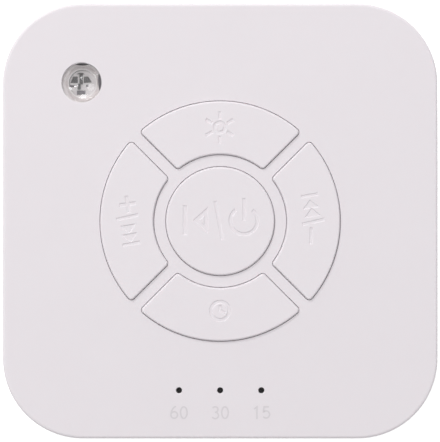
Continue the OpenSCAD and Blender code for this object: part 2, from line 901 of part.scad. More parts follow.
// Corrugated disc between the coil and the basket. Its flat rim is glued under
// the basket's ledge.
module speaker_spider() {
    from = coil_r;
    to = basket_r - spider_rim;
    step = (to - from) / (2 * spider_waves);
    z = basket_h - spider_drop - spider_t;
    low = [for (k = [0 : 2 * spider_waves]) [from + k * step, z - spider_wave_h * (k % 2)]];
    high = [for (k = [2 * spider_waves : -1 : 0]) low[k] + [0, spider_t]];
    rim = [[basket_r - fit, z], [basket_r - fit, z + spider_t]];
    color([0.75, 0.55, 0.2]) at_speaker() rotate_extrude() polygon(concat(low, rim, high));
}

module speaker_coil() {
    low = cone_z + cone_t;
    color([0.7, 0.4, 0.2]) at_speaker() translate([0, 0, low])
        tube(coil_r - glue, coil_r - glue - coil_t, basket_h + frame_t + washer_h - low);
}

module speaker_washer() {
    color(STEEL) at_speaker() translate([0, 0, basket_h + frame_t])
        tube(magnet_r - magnet_lip, coil_r + coil_play, washer_h);
}

module speaker_magnet() {
    color(DARK) at_speaker() translate([0, 0, basket_h + frame_t + washer_h])
        tube(magnet_r, coil_r + coil_play + magnet_bore, magnet_h);
}

module speaker_yoke() {
    pole_r = coil_r - glue - coil_t - coil_play;
    color(STEEL) at_speaker() translate([0, 0, basket_h + frame_t]) {
        translate([0, 0, washer_h + magnet_h]) cylinder(r = magnet_r - magnet_lip, h = yoke_h);
        cylinder(r = pole_r, h = washer_h + magnet_h + joint);
    }
}

module speaker_gasket() {
    color([0.25, 0.25, 0.25]) translate([0, 0, z_floor])
        tube(speaker_r - fit, speaker_r - gasket_w, gasket_t);
}

module speaker_terminals() {
    color([0.55, 0.35, 0.2]) at_speaker() difference() {
        translate([0, terminal_y, terminal_z]) block(terminal);
        translate([0, 0, terminal_z - 1])
            cylinder(r = basket_in(terminal_z) + basket_t, h = 3);
    }
}

module speaker_screws() {
    color(STEEL) speaker_screw_places()
        translate([0, 0, z_speaker + frame_t]) mirror([0, 0, 1])
            screw([small_screw[0], gasket_t + frame_t + wall / 2 - 0.2], speaker_head);
}

// ---- The pieces, one at a time or all together ----

top_cover();
base_cover();
speaker_grille();
grille_cloth();
foot(0);  // rear_right_foot
foot(1);  // rear_left_foot
foot(2);  // front_left_foot
foot(3);  // front_right_foot
case_screws();
power_button();
for (i = [1 : 4]) rotate(PLACES[i][1]) ring_button();
for (i = [0 : 4]) {
    at_place(i) plunger();
    at_place(i) switch_body();
}
night_light_lens();
night_light_reflector();
night_light_led();
night_light_leads();
timer_led_at(-1);  // timer_led_left
timer_led_at(0);  // timer_led_middle
timer_led_at(1);  // timer_led_right
main_board();
board_screws();
chip(sound_chip_y, sound_chip, 7);
chip(amplifier_chip_y, amplifier_chip, 4);
capacitors();
usb_socket();
usb_tongue();
headphone_socket();
battery_cell();
battery_tabs();
battery_pad();
plug_block(battery_plug_y);  // battery_plug
battery_wires();
speaker_frame();
speaker_surround();
speaker_cone();
speaker_dust_cap();
speaker_spider();
speaker_coil();
speaker_washer();
speaker_magnet();
speaker_yoke();
speaker_gasket();
speaker_terminals();
speaker_screws();
plug_block(speaker_plug_y);  // speaker_plug
speaker_wires();
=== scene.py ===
"""Looks of the white noise sound machine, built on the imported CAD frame.

Everything is in metres in the CAD frame. Outlines are written in millimetres and scaled by MM
when a mesh is made. +X is to the right in the picture, +Y towards its top, +Z towards the camera.
"""

import json
import math

import bmesh
import bpy
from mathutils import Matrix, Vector, geometry


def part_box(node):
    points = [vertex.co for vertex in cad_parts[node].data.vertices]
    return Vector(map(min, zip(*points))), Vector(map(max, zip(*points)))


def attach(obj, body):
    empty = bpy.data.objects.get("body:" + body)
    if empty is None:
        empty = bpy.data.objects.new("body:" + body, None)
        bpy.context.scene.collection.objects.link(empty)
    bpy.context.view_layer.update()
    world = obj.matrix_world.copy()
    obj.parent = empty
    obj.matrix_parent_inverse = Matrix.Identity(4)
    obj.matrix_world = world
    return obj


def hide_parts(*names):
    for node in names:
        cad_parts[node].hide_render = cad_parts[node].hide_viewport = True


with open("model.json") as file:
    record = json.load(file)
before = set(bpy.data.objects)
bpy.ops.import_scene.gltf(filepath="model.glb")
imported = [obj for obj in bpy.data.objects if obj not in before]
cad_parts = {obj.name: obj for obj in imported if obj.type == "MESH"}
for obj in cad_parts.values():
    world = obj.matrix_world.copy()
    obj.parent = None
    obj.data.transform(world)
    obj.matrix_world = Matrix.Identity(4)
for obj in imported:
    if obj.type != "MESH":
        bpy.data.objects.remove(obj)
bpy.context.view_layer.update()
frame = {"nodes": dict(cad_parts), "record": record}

MM = 0.001
NODES = frame["nodes"]
SLOT_OF = {s["node"]: s["material_slot"] for s in frame["record"]["subparts"]}


def top(node):
    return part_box(node)[1].z / MM


def low(node):
    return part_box(node)[0].z / MM


# Heights, in millimetres
FACE = top("top_cover")
CAP_TOP = top("power_button")
UNDER = FACE - 2.0  # underside of the cover's face
CEILING = CAP_TOP - 1.6  # inside of a button's top
FLANGE_LOW = UNDER - 1.0
STEM_LOW = top("power_plunger")

# Outlines of the button cluster, in millimetres
POWER_R = 12.35
RING_IN = 15.45
RING_OUT = 27.45
RING_MID = (RING_IN + RING_OUT) / 2
SIDE = 1.55  # from a ring button to the diagonal between two of them
CORNER = 0.75
GAP = 0.25
SHOULDER = 0.15  # how much of the gap a button's shoulder fills
SHOULDER_TOP = FACE - 0.15
FLANGE = 0.8  # how far a button's flange reaches past the gap
SKIRT = 1.2  # wall of a button
EDGE = 0.3  # rolled edge of a button
RIM = 0.12  # rolled rim of an opening in the cover
STEM_R = 2.2
RIB = 0.5  # half the thickness of a rib
RIB_H = 1.4
SUNK = 0.2  # how far stem and ribs go into the button's top
NOTCH = 1.5  # length of the key's notch in the flange
KEYS = (45, 135, 225, 315)  # where the middle button's keys are, in degrees
INNER_FLANGE = 0.2  # how far a ring button grows inwards at its flange
INSIDE_CORNER = 0.3

# Places of the lights, in millimetres
NIGHT = (-31.85, 31.85)
TIMER_X = (-9.46, 0.0, 9.46)
TIMER_Y = -38.9

# ---------------------------------------------------------------- materials


class Nodes:
    """Short names for building one material's node tree."""

    def __init__(self, tree):
        self.tree = tree
        self.coords = None

    def new(self, kind, **values):
        """Node of a kind. Each value goes to the socket of its name, or else to the setting."""
        node = self.tree.nodes.new(kind)
        for key, value in values.items():
            if key in node.inputs:
                node.inputs[key].default_value = value
            else:
                setattr(node, key, value)
        return node

    def link(self, a, b):
        self.tree.links.new(a, b)

    def place(self):
        if self.coords is None:
            self.coords = self.new("ShaderNodeTexCoord").outputs["Object"]
        return self.coords

    def noise(self, scale, detail=2.0, rough=0.5):
        node = self.new("ShaderNodeTexNoise", Scale=scale, Detail=detail, Roughness=rough)
        self.link(self.place(), node.inputs["Vector"])
        return node.outputs["Fac"]

    def spread(self, value, lowest, highest):
        """Noise, which stays mostly between 0.3 and 0.7, spread over a wider range."""
        node = self.new("ShaderNodeMapRange")
        node.inputs["From Min"].default_value = 0.3
        node.inputs["From Max"].default_value = 0.7
        node.inputs["To Min"].default_value = lowest
        node.inputs["To Max"].default_value = highest
        self.link(value, node.inputs["Value"])
        return node.outputs["Result"]

    def mix(self, value, a, b):
        node = self.new("ShaderNodeMix", data_type="RGBA")
        node.inputs["A"].default_value = (*a, 1)
        node.inputs["B"].default_value = (*b, 1)
        sockets = [s for s in node.inputs if s.name == "Factor" and s.enabled]
        self.link(value, sockets[0])
        return [s for s in node.outputs if s.enabled][0]


def tinted(colour, amount):
    """A colour made lighter or darker, kept between 0 and 1."""
    return tuple(min(1.0, max(0.0, c * amount)) for c in colour)


def solid(name, colour, rough, metal=0.0, vary=0.04, patch=60.0, rough_vary=0.05, grain=4000.0,
          bump=0.0, soft=0.0, coat=0.0, round_edges=0.0, pattern=None):
    """A procedural material: broad colour patches, uneven roughness and a fine surface grain.

    bump and round_edges are in millimetres. A pattern gives the height instead of the grain.
    """
    mat = bpy.data.materials.new(name)
    mat.use_nodes = True
    n = Nodes(mat.node_tree)
    bsdf = mat.node_tree.nodes["Principled BSDF"]
    bsdf.inputs["Metallic"].default_value = metal
    bsdf.inputs["Coat Weight"].default_value = coat
    if soft:
        bsdf.inputs["Subsurface Weight"].default_value = soft
        bsdf.inputs["Subsurface Radius"].default_value = (1.0, 0.9, 0.9)
        bsdf.inputs["Subsurface Scale"].default_value = 0.0006
    broad = n.noise(patch, 3.0)
    fine = n.noise(grain, 2.0, 0.6)
    shade = n.mix(broad, tinted(colour, 1 - vary), tinted(colour, 1 + vary))
    n.link(shade, bsdf.inputs["Base Color"])
    uneven = n.spread(n.noise(patch * 4, 2.0), rough - rough_vary, rough + rough_vary)
    n.link(uneven, bsdf.inputs["Roughness"])
    normal = None
    if round_edges:
        edge = n.new("ShaderNodeBevel", samples=6, Radius=round_edges * MM)
        normal = edge.outputs["Normal"]
    if bump or pattern:
        node = n.new("ShaderNodeBump", Strength=1.0, Distance=max(bump, 1e-3) * MM)
        n.link(pattern(n) if pattern else fine, node.inputs["Height"])
        if normal is not None:
            n.link(normal, node.inputs["Normal"])
        normal = node.outputs["Normal"]
    if normal is not None:
        n.link(normal, bsdf.inputs["Normal"])
    return mat


HEAD_ON = 0.04  # what clear resin mirrors when it is looked at straight
TRAPPED = 0.98  # Fresnel share from which no light leaves the moulding


def with_shine(n, body, rough, most=1.0):
    """A smooth, clear surface over a body. It mirrors a little head on, and most at flat angles."""
    shine = n.new("ShaderNodeBsdfGlossy", Color=(1, 1, 1, 1))
    n.link(n.spread(n.noise(300.0), rough, rough + 0.02), shine.inputs["Roughness"])
    facing = n.new("ShaderNodeLayerWeight", Blend=0.5)
    power = n.new("ShaderNodeMath", operation="POWER")
    power.inputs[1].default_value = 5.0  # Schlick's curve
    n.link(facing.outputs["Facing"], power.inputs[0])
    edge = n.new("ShaderNodeMapRange")
    edge.inputs["To Min"].default_value = HEAD_ON
    edge.inputs["To Max"].default_value = most
    n.link(power.outputs[0], edge.inputs["Value"])
    final = n.new("ShaderNodeMixShader")
    n.link(edge.outputs[0], final.inputs["Fac"])
    n.link(body, final.inputs[1])
    n.link(shine.outputs[0], final.inputs[2])
    n.link(final.outputs[0], n.tree.nodes["Material Output"].inputs["Surface"])


def empty_material(name):
    mat = bpy.data.materials.new(name)
    mat.use_nodes = True
    mat.node_tree.nodes.remove(mat.node_tree.nodes["Principled BSDF"])
    return mat, Nodes(mat.node_tree)


def clear(name, tint, milk=(0.9, 0.9, 0.9), milky=0.06):
    """Clear resin that light goes straight through, with a trace of cloud in it."""
    mat, n = empty_material(name)
    through = n.new("ShaderNodeBsdfTransparent", Color=(*tint, 1))
    cloud = n.new("ShaderNodeBsdfDiffuse", Color=(*milk, 1))
    body = n.new("ShaderNodeMixShader")
    n.link(n.spread(n.noise(900.0), milky - 0.03, milky + 0.03), body.inputs["Fac"])
    n.link(through.outputs[0], body.inputs[1])
    n.link(cloud.outputs[0], body.inputs[2])
    with_shine(n, body.outputs[0], 0.05, 0.35)
    return mat


def glass(name, tint, ior=1.46):
    """Thick clear moulding. It bends what is seen through it, and light goes straight in."""
    mat, n = empty_material(name)
    bend = n.new("ShaderNodeBsdfRefraction", IOR=ior, Roughness=0.0)
    straight = n.new("ShaderNodeBsdfTransparent")
    haze = n.mix(n.noise(220.0), tinted(tint, 0.985), tint)
    n.link(haze, bend.inputs["Color"])
    # Past the critical angle a ray stays inside, so it is mirrored there
    trapped = n.new("ShaderNodeMath", operation="GREATER_THAN")
    trapped.inputs[1].default_value = TRAPPED
    n.link(n.new("ShaderNodeFresnel", IOR=ior).outputs[0], trapped.inputs[0])
    mirror = n.new("ShaderNodeBsdfGlossy", Roughness=0.02)
    n.link(haze, mirror.inputs["Color"])
    moulded = n.new("ShaderNodeMixShader")
    n.link(trapped.outputs[0], moulded.inputs["Fac"])
    n.link(bend.outputs[0], moulded.inputs[1])
    n.link(mirror.outputs[0], moulded.inputs[2])
    n.link(haze, straight.inputs["Color"])
    rays = n.new("ShaderNodeLightPath")
    either = n.new("ShaderNodeMath", operation="MAXIMUM")
    n.link(rays.outputs["Is Shadow Ray"], either.inputs[0])
    n.link(rays.outputs["Is Diffuse Ray"], either.inputs[1])
    body = n.new("ShaderNodeMixShader")
    n.link(either.outputs[0], body.inputs["Fac"])
    n.link(moulded.outputs[0], body.inputs[1])
    n.link(straight.outputs[0], body.inputs[2])
    with_shine(n, body.outputs[0], 0.04)
    return mat


def weave(n):
    """Height of a plain woven cloth."""
    total = None
    for direction in ("X", "Y"):
        wave = n.new("ShaderNodeTexWave", Scale=620.0, Distortion=0.6, bands_direction=direction)
        n.link(n.place(), wave.inputs["Vector"])
        if total is None:
            total = wave.outputs["Fac"]
        else:
            add = n.new("ShaderNodeMath", operation="MULTIPLY")
            n.link(total, add.inputs[0])
            n.link(wave.outputs["Fac"], add.inputs[1])
            total = add.outputs[0]
    return total


def brushed(n):
    """Height of fine parallel brush marks."""
    scale = n.new("ShaderNodeMapping")
    scale.inputs["Scale"].default_value = (40.0, 2500.0, 2500.0)
    n.link(n.place(), scale.inputs["Vector"])
    noise = n.new("ShaderNodeTexNoise", Scale=1.0, Detail=3.0)
    n.link(scale.outputs[0], noise.inputs["Vector"])
    return noise.outputs["Fac"]


WHITE = (0.805, 0.762, 0.793)
MATERIALS = {
    "housing": solid("housing_plastic", WHITE, 0.48, vary=0.008, bump=0.0025, grain=5200,
                     soft=0.25, round_edges=0.12),
    "button": solid("button_plastic", tinted(WHITE, 1.01), 0.42, vary=0.006, bump=0.0015,
                    grain=6500, soft=0.25),
    "grille": solid("grille_plastic", WHITE, 0.48, vary=0.008, bump=0.0025, grain=5200,
                    round_edges=0.1),
    "foot": solid("foot_rubber", (0.035, 0.035, 0.038), 0.72, vary=0.12, bump=0.02, grain=3000,
                  round_edges=0.15),
    "lens": glass("lens_clear", (0.99, 0.99, 0.995)),
    "reflector": solid("reflector_gloss", (0.93, 0.895, 0.885), 0.3, vary=0.01, bump=0.001),
    "led": clear("led_resin", (0.98, 0.98, 0.98)),
    "lead": solid("lead_tin", (0.5, 0.5, 0.5), 0.35, metal=1.0, vary=0.06, bump=0.002,
                  pattern=brushed),
    "timer_led": solid("timer_phosphor", (0.85, 0.7, 0.2), 0.35, vary=0.06, bump=0.002, coat=0.5),
    "board": solid("board_resist", (0.02, 0.16, 0.06), 0.3, vary=0.25, patch=900, bump=0.01,
                   coat=0.5),
    "chip": solid("chip_resin", (0.02, 0.02, 0.021), 0.6, vary=0.15, bump=0.008, grain=9000),
    "can": solid("can_aluminium", (0.72, 0.72, 0.74), 0.3, metal=1.0, bump=0.002,
                 pattern=brushed),
    "switch": solid("switch_moulding", (0.06, 0.06, 0.062), 0.4, vary=0.1, bump=0.004),
    "plunger": solid("plunger_moulding", (0.025, 0.025, 0.026), 0.35, vary=0.1, bump=0.003),
    "screw": solid("screw_zinc", (0.55, 0.56, 0.58), 0.3, metal=1.0, bump=0.003,
                   round_edges=0.05),
    "socket_shell": solid("socket_nickel", (0.66, 0.65, 0.63), 0.24, metal=1.0, bump=0.002,
                          pattern=brushed, round_edges=0.05),
    "socket_body": solid("socket_moulding", (0.018, 0.018, 0.019), 0.38, vary=0.1, bump=0.004,
                         round_edges=0.08),
    "cell": solid("cell_sleeve", (0.05, 0.17, 0.45), 0.28, vary=0.06, bump=0.003, coat=0.3),
    "tab": solid("tab_nickel", (0.68, 0.67, 0.64), 0.3, metal=1.0, bump=0.002, pattern=brushed),
    "foam": solid("foam_black", (0.03, 0.03, 0.03), 0.9, vary=0.2, bump=0.06, grain=2200),
    "cloth": solid("cloth_black", (0.014, 0.014, 0.015), 0.9, vary=0.2, bump=0.08, pattern=weave),
    "plug": solid("plug_nylon", (0.82, 0.79, 0.7), 0.45, vary=0.03, bump=0.004, soft=0.1,
                  round_edges=0.08),
    "wire": solid("wire_sleeve", (0.5, 0.02, 0.02), 0.4, vary=0.06, bump=0.003),
    "speaker_steel": solid("speaker_zinc", (0.45, 0.46, 0.48), 0.38, metal=1.0, bump=0.004,
                           round_edges=0.08),
    "basket": solid("basket_enamel", (0.02, 0.02, 0.02), 0.35, vary=0.15, bump=0.01, grain=2600),
    "cone": solid("cone_pulp", (0.03, 0.03, 0.03), 0.85, vary=0.2, bump=0.05, grain=2600),
    "roll": solid("roll_rubber", (0.015, 0.015, 0.015), 0.6, vary=0.15, bump=0.006),
    "spider": solid("spider_cloth", (0.5, 0.28, 0.06), 0.8, vary=0.1, bump=0.06, pattern=weave),
    "coil": solid("coil_enamel", (0.6, 0.25, 0.08), 0.3, metal=1.0, vary=0.08, bump=0.004),
    "magnet": solid("magnet_ferrite", (0.045, 0.045, 0.048), 0.55, vary=0.2, bump=0.02,
                    grain=1800),
    "terminal": solid("terminal_board", (0.33, 0.16, 0.05), 0.6, vary=0.12, bump=0.01),
}
# Painted shade: the lead frame inside the clear lamp is near-black where it shows dark, not silver
# metal.
FRAME_PAINTED_SHADE = solid("led_frame_painted_shade", (0.03, 0.027, 0.026), 0.5, vary=0.1, bump=0.003)
# Painted shade: a near-black and a grey sheet stand for the shaded crescents under the lens's rim.
# The grey one also paints the lighter shade on the lead frame's ledge, chip and cup.
RIM_PAINTED_SHADE = solid("lens_rim_painted_shade", (0.012, 0.011, 0.01), 0.5, vary=0.1, bump=0.002)
GREY_PAINTED_SHADE = solid("grey_painted_shade", (0.12, 0.11, 0.12), 0.5, vary=0.1, bump=0.002)
SMOKED = solid("timer_smoked", (0.006, 0.006, 0.0065), 0.45, vary=0.1, bump=0.0005)
PRINT = solid("digit_print", tinted(WHITE, 0.86), 0.55, vary=0.02, bump=0.001)
GOLD = solid("contact_gold", (0.83, 0.6, 0.2), 0.25, metal=1.0, vary=0.05, bump=0.001)

# ---------------------------------------------------------------- mesh helpers


def finish_mesh(mesh, smooth=35.0, flat_above=0.9995):
    """Smooth shading, flat on level and upright faces, and sharp where faces meet at an angle."""
    mesh.set_sharp_from_angle(angle=math.radians(smooth))
    for p in mesh.polygons:
        upright = max(abs(p.normal.x), abs(p.normal.y)) > 0.99999
        p.use_smooth = abs(p.normal.z) < flat_above and not upright


def piece(name, bm, body, slot, material=None, stands_for=()):
    """Finished object from a mesh: shaded, dressed with the given material or else its slot's, and
    on its body.
    """
    bmesh.ops.recalc_face_normals(bm, faces=bm.faces)
    mesh = bpy.data.meshes.new(name)
    bm.to_mesh(mesh)
    bm.free()
    finish_mesh(mesh)
    obj = bpy.data.objects.new(name, mesh)
    bpy.context.scene.collection.objects.link(obj)
    mesh.materials.append(material or MATERIALS[slot])
    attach(obj, body)
    if stands_for:
        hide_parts(*stands_for)
    return obj


def loft(bm, rings, close=False):
    """Closed solid through rings of points in millimetres, with equally many points each."""
    loops = [[bm.verts.new(Vector(p) * MM) for p in ring] for ring in rings]
    count = len(loops[0])
    pairs = list(zip(loops, loops[1:]))
    if close:
        pairs.append((loops[-1], loops[0]))
    for a, b in pairs:
        for i in range(count):
            j = (i + 1) % count
            bm.faces.new((a[i], a[j], b[j], b[i]))
    if not close:
        bm.faces.new(loops[0])
        bm.faces.new(loops[-1])


def circle(r, z, n=96, at=(0.0, 0.0)):
    turns = [2 * math.pi * i / n for i in range(n)]
    return [(at[0] + r * math.cos(t), at[1] + r * math.sin(t), z) for t in turns]


def arc(cx, cy, r, start, end, n):
    """n points round (cx, cy) from one angle to another, in degrees, both ends included."""
    turns = [math.radians(start + (end - start) * i / (n - 1)) for i in range(n)]
    return [(cx + r * math.cos(t), cy + r * math.sin(t)) for t in turns]


def turned(x, y, turn):
    """A point turned round the origin, in degrees."""
    c, s = math.cos(math.radians(turn)), math.sin(math.radians(turn))
    return x * c - y * s, x * s + y * c


def revolve(bm, profile, at, n=72):
    """Solid of revolution with flat ends, through (radius, height) pairs."""
    loft(bm, [circle(r, z, n, at) for r, z in profile])


def sector(grow, corner, z, inner_grow=None, turn=0.0):
    """Outline of a ring button at a height, grown outwards, by inner_grow at its inner arc."""
    inner_grow = grow if inner_grow is None else inner_grow
    s, inner, outer, c = SIDE - grow, RING_IN - inner_grow, RING_OUT + grow, corner

    def centre(r):
        along = math.sqrt(r * r - (s + c) ** 2)
        return ((along + s + c) / math.sqrt(2), (along - s - c) / math.sqrt(2))

    ox, oy = centre(outer - c)
    ix, iy = centre(inner + c)
    fo, fi = math.degrees(math.atan2(oy, ox)), math.degrees(math.atan2(iy, ix))
    points = arc(0, 0, outer, -fo, fo, 61)[:-1]
    points += arc(ox, oy, c, fo, 135, 9)
    points += arc(ix, iy, c, 135, 180 + fi, 9)[:-1]
    points += arc(0, 0, inner, fi, -fi, 37)[:-1]
    points += arc(ix, -iy, c, 180 - fi, 225, 9)
    points += arc(ox, -oy, c, 225, 360 - fo, 9)[:-1]
    return [(*turned(x, y, turn), z) for x, y in points]


def rounding(steps=5):
    """(inset, drop) pairs of a quarter round edge of radius 1, from its top to its side."""
    turns = [math.pi / 2 * i / steps for i in range(steps + 1)]
    return [(1 - math.sin(t), 1 - math.cos(t)) for t in turns]


# ---------------------------------------------------------------- engraved signs

DEPTH = 0.17
FLARE = 0.24
# Height as a share of the depth, and how much of the flare there is at that height
LEVELS = ((-1.0, 0.0), (-0.9, 0.18), (-0.55, 0.45), (-0.2, 0.72), (-0.05, 0.9), (0.0, 1.0),
          (1.5, 1.0))


def bar(p, q, width):
    """Straight stroke, given like the strokes below as a function from growth to outline."""
    p, q = Vector(p), Vector(q)
    along = (q - p).normalized()
    across = Vector((-along.y, along.x))

    def outline(grow):
        a, b = p - along * grow, q + along * grow
        h = across * (width / 2 + grow)
        return [a - h, b - h, b + h, a + h]

    return outline


def bow(centre, r, width, start, end, n=33):
    """Open arc stroke."""

    def outline(grow):
        more = math.degrees(grow / r)
        outer = arc(*centre, r + width / 2 + grow, start - more, end + more, n)
        inner = arc(*centre, r - width / 2 - grow, end + more, start - more, n)
        return [Vector(p) for p in outer + inner]

    return outline


def hoop(centre, r, n=40):
    """Full circle."""

    def outline(grow):
        return [Vector(p) for p in arc(*centre, r + grow, 0, 360 * (n - 1) / n, n)]

    return outline


def poly(points):
    """Polygon, given anticlockwise, that grows with mitred corners."""
    points = [Vector(p) for p in points]

    def outline(grow):
        made = []
        for i, p in enumerate(points):
            a = (p - points[i - 1]).normalized()
            b = (points[(i + 1) % len(points)] - p).normalized()
            out = Vector((a.y, -a.x)) + Vector((b.y, -b.x))
            made.append(p + out * (2 * grow / max(out.length_squared, 1e-9)))
        return made

    return outline


def cutter(bm, outside, hole=None):
    """Solid that cuts a stroke with sloping, rounded walls. A hole leaves an island standing."""

    def walls(outline, flare):
        return [[(*p, CAP_TOP + level * DEPTH) for p in outline(part * flare)]
                for level, part in LEVELS]

    if hole is None:
        loft(bm, walls(outside, FLARE))
    else:
        loft(bm, walls(outside, FLARE) + walls(hole, -FLARE)[::-1], close=True)


def boolean(obj, other, operation):
    """Join another object on to this one, or cut it out."""
    mod = obj.modifiers.new("cut", "BOOLEAN")
    mod.object = other
    mod.operation = operation
    mod.solver = "EXACT"
    mod.use_self = True
    graph = bpy.context.evaluated_depsgraph_get()
    mesh = bpy.data.meshes.new_from_object(obj.evaluated_get(graph))
    obj.modifiers.clear()
    obj.data = mesh


def solid_object(name, bm):
    """Plain object from a mesh, without a body or a slot."""
    bmesh.ops.recalc_face_normals(bm, faces=bm.faces)
    mesh = bpy.data.meshes.new(name)
    bm.to_mesh(mesh)
    bm.free()
    obj = bpy.data.objects.new(name, mesh)
    bpy.context.scene.collection.objects.link(obj)
    return obj


def box_ring(x0, x1, y0, y1, z):
    return [(x0, y0, z), (x1, y0, z), (x1, y1, z), (x0, y1, z)]


def turned_box(x0, x1, z, turn, at=(0.0, 0.0)):
    """Outline at a height of a rib or notch that goes from x0 to x1 in a direction, in degrees."""
    corners = [turned(x, y, turn) for x, y, _ in box_ring(x0, x1, -RIB, RIB, z)]
    return [(at[0] + x, at[1] + y, z) for x, y in corners]


def make_cap(name, key, rings, strokes, stem_at, ribs, notches=()):
    """A button: its shell, then stem and ribs joined on, and signs and notches cut out."""
    bm = bmesh.new()
    loft(bm, rings)
    cap = solid_object(name, bm)
    bm = bmesh.new()
    loft(bm, [circle(STEM_R, z, 32, stem_at) for z in (STEM_LOW, CEILING + SUNK)])
    for reach, turn in ribs:
        heights = (CEILING - RIB_H, CEILING + SUNK)
        loft(bm, [turned_box(-reach, reach, z, turn, stem_at) for z in heights])
    inner = solid_object(name + "_inside", bm)
    boolean(cap, inner, "UNION")
    bpy.data.objects.remove(inner)
    bm = bmesh.new()
    for stroke in strokes:
        cutter(bm, *stroke)
    for notch in notches:
        loft(bm, notch)
    signs = solid_object(name + "_signs", bm)
    boolean(cap, signs, "DIFFERENCE")
    bpy.data.objects.remove(signs)
    finish_mesh(cap.data)
    cap.data.materials.clear()
    cap.data.materials.append(MATERIALS["button"])
    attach(cap, key)
    return cap


def sun():
    """The light's sign."""
    x, y = -0.1, 21.5
    strokes = [(hoop((x, y), 1.4), hoop((x, y), 0.95))]
    for a in (90, 30, -30, -90, -150, 150):
        c, s = math.cos(math.radians(a)), math.sin(math.radians(a))
        strokes.append((bar((x + 2.1 * c, y + 2.1 * s), (x + 3.5 * c, y + 3.5 * s), 0.4),))
    return strokes


def power_signs():
    """Skip, slash and power, on the middle button."""
    left = [(-6.0, 0.2), (-2.95, -2.55), (-2.95, 2.95)]
    inner = [(-4.95, 0.2), (-3.55, -1.15), (-3.55, 1.55)]
    return [
        (bar((-8.1, 3.4), (-8.1, -3.0), 0.6),),
        (poly(left), poly(inner)),
        (bar((-1.15, 4.4), (0.45, -4.15), 0.4),),
        (bow((5.45, 0.1), 3.1, 0.5, 130, 408),),
        (bar((5.5, 5.1), (5.5, 0.3), 0.4),),
    ]


def next_signs():
    """Plus, slash, two arrowheads and a stop."""
    a, b = 0.25, 1.75
    plus = [(-b, -a), (-a, -a), (-a, -b), (a, -b), (a, -a), (b, -a),
            (b, a), (a, a), (a, b), (-a, b), (-a, a), (-b, a)]
    leaning = [turned(x, y, 8) for x, y in plus]
    return [
        (poly([(x - 21.25, y + 3.9) for x, y in leaning]),),
        (bar((-23.75, 0.35), (-18.95, 1.45), 0.4),),
        (poly([(-22.65, -1.25), (-20.85, -2.65), (-19.65, -0.75)]),),
        (poly([(-22.25, -3.3), (-20.45, -4.7), (-19.25, -2.75)]),),
        (bar((-22.25, -5.55), (-18.5, -4.85), 0.4),),
    ]


def previous_signs():
    """A stop, two arrowheads, slash and minus."""
    return [
        (bar((18.7, 5.6), (22.3, 6.2), 0.4),),
        (poly([(19.3, 2.9), (22.4, 3.35), (20.6, 4.7)]),),
        (poly([(19.7, 0.95), (22.8, 1.4), (21.0, 2.9)]),),
        (bar((19.0, -0.7), (23.8, 0.4), 0.4),),
        (bar((20.9, -1.6), (20.8, -5.1), 0.4),),
    ]


def clock():
    """The timer's sign, a plain clock face."""
    x, y = 0.0, -20.6
    return [
        (hoop((x, y), 2.35), hoop((x, y), 1.85)),
        (bar((x, y + 1.15), (x, y - 0.05), 0.35),),
        (bar((x + 0.3, y), (x + 1.05, y - 0.42), 0.35),),
    ]


def ring_cap(name, key, turn, strokes):
    """One of the four ring buttons, whose middle lies in a direction, in degrees."""
    rings = []
    for inset, drop in rounding():
        grow, corner = -EDGE * inset, CORNER - EDGE * inset
        rings.append(sector(grow, corner, CAP_TOP - EDGE * drop, turn=turn))
    rounder = CORNER + SHOULDER
    rings.append(sector(0, CORNER, SHOULDER_TOP, turn=turn))
    rings.append(sector(SHOULDER, rounder, SHOULDER_TOP, turn=turn))
    rings.append(sector(SHOULDER, rounder, UNDER, turn=turn))
    for z in (UNDER, FLANGE_LOW):
        rings.append(sector(GAP + FLANGE, rounder, z, inner_grow=INNER_FLANGE, turn=turn))
    for z in (FLANGE_LOW, CEILING):
        rings.append(sector(-SKIRT, INSIDE_CORNER, z, turn=turn))
    t = math.radians(turn)
    stem = (RING_MID * math.cos(t), RING_MID * math.sin(t))
    along = RING_OUT - SKIRT / 2 - RING_MID
    across = RING_MID * 0.55
    cap = make_cap(name, key, rings, strokes, stem, [(along, turn), (across, turn + 90)])
    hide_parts(name.replace("_cap", "_button"))


def power_cap():
    """The round middle button, with a notch in its flange for each key."""
    edge = POWER_R + GAP
    profile = [(POWER_R - EDGE * inset, CAP_TOP - EDGE * drop) for inset, drop in rounding()]
    profile += [(POWER_R, SHOULDER_TOP), (POWER_R + SHOULDER, SHOULDER_TOP)]
    profile += [(POWER_R + SHOULDER, UNDER), (edge + FLANGE, UNDER)]
    profile += [(edge + FLANGE, FLANGE_LOW), (POWER_R - SKIRT, FLANGE_LOW)]
    profile += [(POWER_R - SKIRT, CEILING)]
    rings = [circle(r, z, 144) for r, z in profile]
    reach = POWER_R - SKIRT / 2
    notches = []
    for turn in KEYS:
        heights = (FLANGE_LOW - 0.5, UNDER + 0.01)
        notches.append([turned_box(edge, edge + NOTCH, z, turn) for z in heights])
    cap = make_cap("power_cap", "power_key", rings, power_signs(), (0.0, 0.0),
                   [(reach, 45), (reach, 135)], notches)
    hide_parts("power_button")


power_cap()
ring_cap("light_cap", "light_key", 90, sun())
ring_cap("timer_cap", "timer_key", 270, clock())
ring_cap("next_cap", "next_key", 180, next_signs())
ring_cap("previous_cap", "previous_key", 0, previous_signs())

# ---------------------------------------------------------------- top cover


def boundary_loops(bm):
    """Open edges of a mesh as closed lists of vertices."""
    open_edges = {e for e in bm.edges if e.is_boundary}
    loops = []
    while open_edges:
        edge = open_edges.pop()
        start, here = edge.verts
        loop = [start]
        while here is not start:
            loop.append(here)
            edge = next(e for e in here.link_edges if e in open_edges)
            open_edges.discard(edge)
            here = edge.other_vert(here)
        loops.append(loop)
    return loops


def anticlockwise(loop):
    """The same loop, turned round if it ran the other way."""
    area = sum(a.co.x * b.co.y - b.co.x * a.co.y for a, b in zip(loop, loop[1:] + loop[:1]))
    return loop if area > 0 else loop[::-1]


